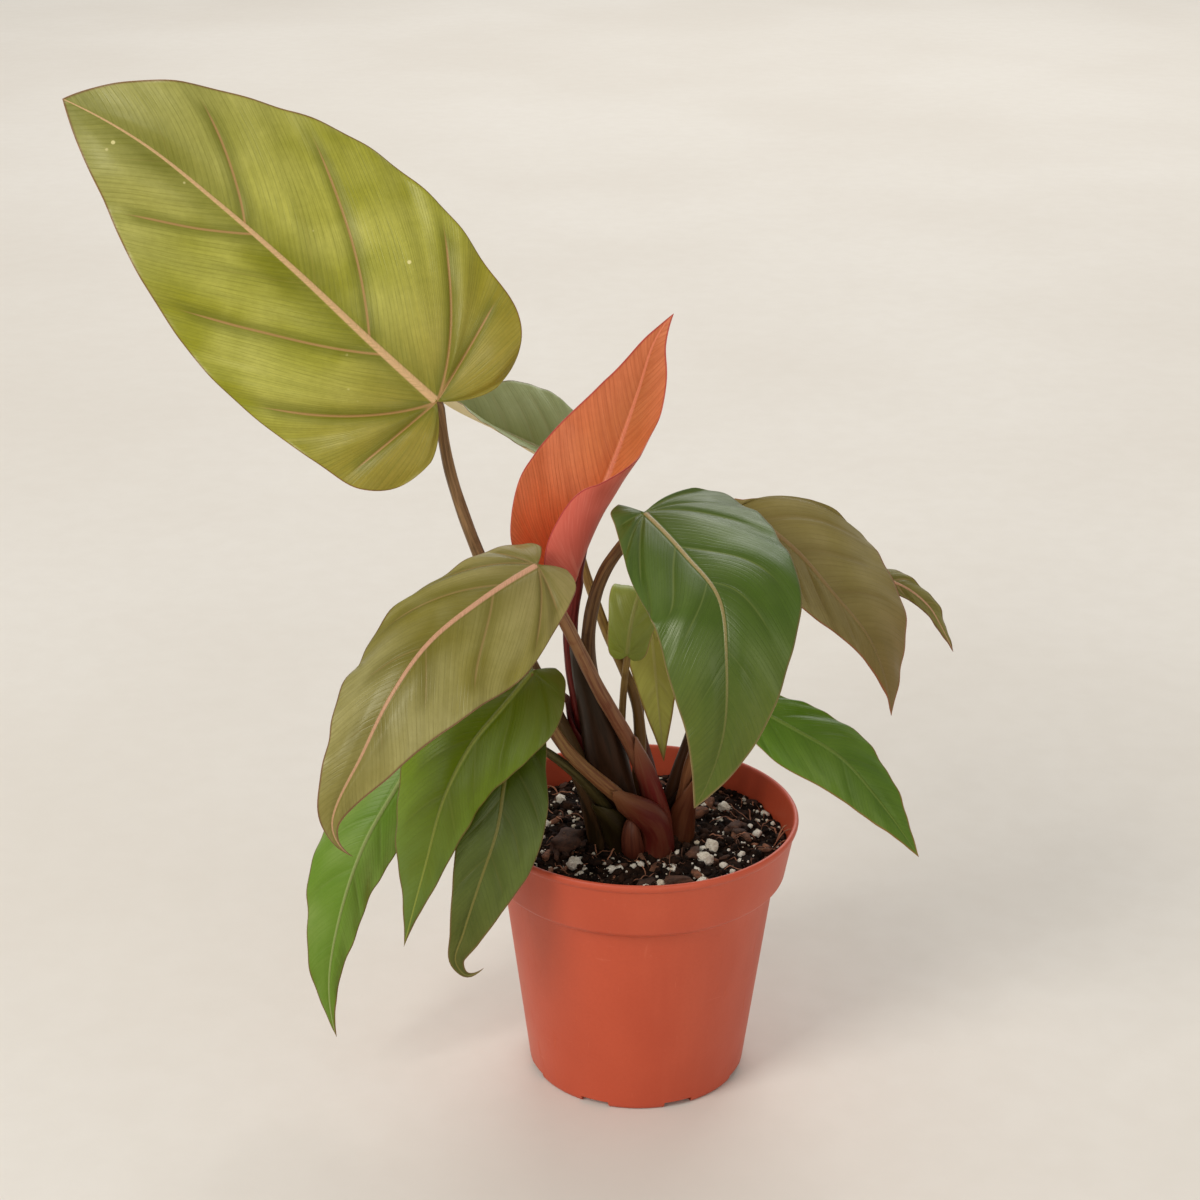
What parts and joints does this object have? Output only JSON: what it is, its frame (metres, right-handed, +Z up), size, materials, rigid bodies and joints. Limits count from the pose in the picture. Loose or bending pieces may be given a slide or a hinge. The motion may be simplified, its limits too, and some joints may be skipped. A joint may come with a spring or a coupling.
{
  "type": "potted philodendron",
  "caption": "Potted philodendron with broad heart-shaped leaves on long stalks, in a tapered plastic nursery pot with soil.",
  "frame": {"origin": "centre of the pot's underside, on the surface that it stands on", "axes": "+Z up along the pot's axis; -Y towards the side that most leaves face"},
  "size_m": [0.3283, 0.1749, 0.3674],
  "materials": {
    "pot_plastic": "satin terracotta-coloured plastic",
    "soil": "loose dark peat-based potting mix",
    "perlite": "matt white expanded grains",
    "bark": "rough composted bark",
    "crown": "woody reddish-brown crown",
    "leaf_olive": "satin olive leaf with pink veins",
    "leaf_bronze": "satin bronze-green leaf with pink midrib",
    "leaf_green": "glossy fresh green leaf",
    "leaf_dark": "glossy dark green leaf with cream midrib",
    "leaf_sage": "satin sage-green leaf",
    "leaf_orange": "satin orange new leaf with pink back",
    "stalk_brown": "satin brown striped stalk",
    "stalk_maroon": "satin maroon stalk",
    "stalk_ochre": "satin ochre stalk"
  },
  "bodies": {
    "root": {"nursery_pot": "pot_plastic", "potting_soil": "soil", "crown_stem": "crown", "bud_scale": "stalk_maroon", "leaf_01_blade": "leaf_olive", "leaf_01_stalk": "stalk_brown", "leaf_02_blade": "leaf_sage", "leaf_02_stalk": "stalk_ochre", "leaf_03_blade": "leaf_orange", "leaf_03_stalk": "stalk_maroon", "leaf_04_blade": "leaf_bronze", "leaf_04_stalk": "stalk_maroon", "leaf_05_blade": "leaf_green", "leaf_05_stalk": "stalk_ochre", "leaf_06_blade": "leaf_green", "leaf_06_stalk": "stalk_brown", "leaf_07_blade": "leaf_dark", "leaf_07_stalk": "stalk_brown", "leaf_08_blade": "leaf_dark", "leaf_08_stalk": "stalk_brown", "leaf_09_blade": "leaf_bronze", "leaf_09_stalk": "stalk_brown", "leaf_10_blade": "leaf_bronze", "leaf_10_stalk": "stalk_maroon", "leaf_11_blade": "leaf_green", "leaf_11_stalk": "stalk_brown", "leaf_12_blade": "leaf_green", "leaf_12_stalk": "stalk_ochre", "bark_chip_1": "bark", "bark_chip_2": "bark", "bark_chip_3": "bark", "perlite_1": "perlite", "perlite_2": "perlite", "perlite_3": "perlite", "perlite_4": "perlite", "perlite_5": "perlite", "perlite_6": "perlite"}
  },
  "joints": []
}
